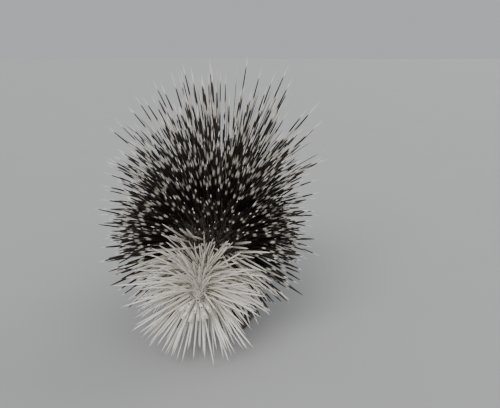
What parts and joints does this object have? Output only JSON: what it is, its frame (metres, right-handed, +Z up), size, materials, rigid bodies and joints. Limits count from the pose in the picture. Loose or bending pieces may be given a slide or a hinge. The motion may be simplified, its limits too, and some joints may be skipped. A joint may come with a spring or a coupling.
{
  "type": "crested porcupine",
  "caption": "Still life-size porcupine standing on four feet, with its banded quills raised in a fan and white tail quills spread.",
  "frame": {"origin": "on the floor, under the middle of the whole animal with its quills", "axes": "+Z up; +Y from the head to the tail; +X to the animal's left side"},
  "size_m": [0.5996, 0.8166, 0.6382],
  "materials": {
    "short_fur": "matte short bristly fur",
    "crest_bristles": "matte grey-brown and whitish bristles",
    "banded_quills": "satin dark brown quills with ivory bands and tips",
    "white_quills": "satin ivory quills",
    "bare_skin": "matte wrinkled skin",
    "claw": "semi-gloss horn",
    "eye": "glossy wet black"
  },
  "bodies": {
    "root": {"head": "short_fur", "eye_left": "eye", "eye_right": "eye", "ear_left": "bare_skin", "ear_right": "bare_skin", "neck": "crest_bristles", "torso": "banded_quills", "rump": "banded_quills", "tail": "white_quills", "foreleg_left": "short_fur", "foreleg_right": "short_fur", "forefoot_left": "bare_skin", "forefoot_right": "bare_skin", "hindleg_left": "short_fur", "hindleg_right": "short_fur", "hindfoot_left": "bare_skin", "hindfoot_right": "bare_skin", "claw_fore_left_1": "claw", "claw_fore_left_2": "claw", "claw_fore_left_3": "claw", "claw_fore_left_4": "claw", "claw_fore_right_1": "claw", "claw_fore_right_2": "claw", "claw_fore_right_3": "claw", "claw_fore_right_4": "claw", "claw_hind_left_1": "claw", "claw_hind_left_2": "claw", "claw_hind_left_3": "claw", "claw_hind_left_4": "claw", "claw_hind_left_5": "claw", "claw_hind_right_1": "claw", "claw_hind_right_2": "claw", "claw_hind_right_3": "claw", "claw_hind_right_4": "claw", "claw_hind_right_5": "claw"}
  },
  "joints": []
}
